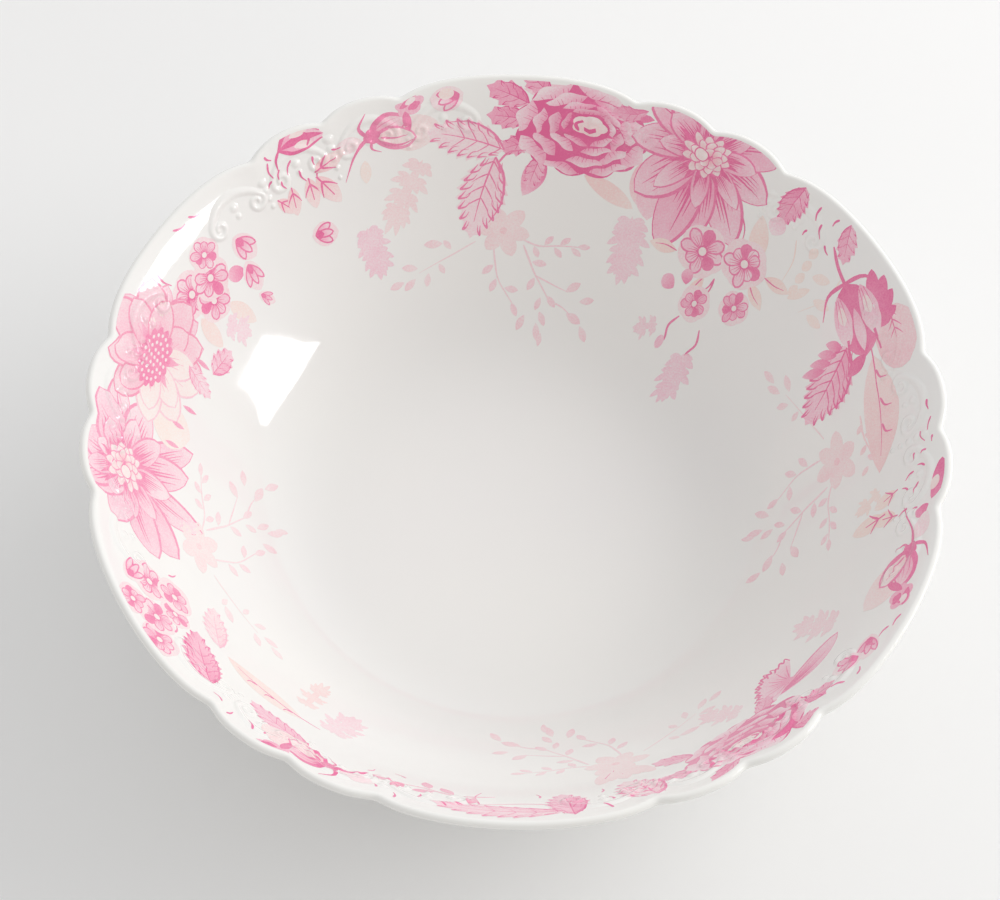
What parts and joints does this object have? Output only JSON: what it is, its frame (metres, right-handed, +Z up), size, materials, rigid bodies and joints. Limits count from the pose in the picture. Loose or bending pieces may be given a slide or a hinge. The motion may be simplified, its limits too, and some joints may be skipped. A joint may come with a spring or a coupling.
{
  "type": "serving bowl",
  "caption": "Flared round porcelain serving bowl with a lobed rim, raised scrolls inside the rim, a turned foot ring and pink printed flowers.",
  "frame": {"origin": "centre of the foot ring's resting face, on the table", "axes": "+Z up along the bowl's axis; a pair of small rim lobes lies 2.7 degrees round from +X, and the picture looks along +Y from above"},
  "size_m": [0.3276, 0.33, 0.1],
  "materials": {
    "glazed_body": "clear gloss glaze over white porcelain",
    "glazed_relief": "clear gloss glaze pooled thinly round raised scrolls",
    "bare_foot": "glazed sides, with a wiped matt resting face"
  },
  "bodies": {
    "root": {"bowl_body": "glazed_body", "foot_ring": "bare_foot", "rim_relief_1": "glazed_relief", "rim_relief_2": "glazed_relief", "rim_relief_3": "glazed_relief", "rim_relief_4": "glazed_relief", "rim_relief_5": "glazed_relief", "rim_relief_6": "glazed_relief"}
  },
  "joints": []
}
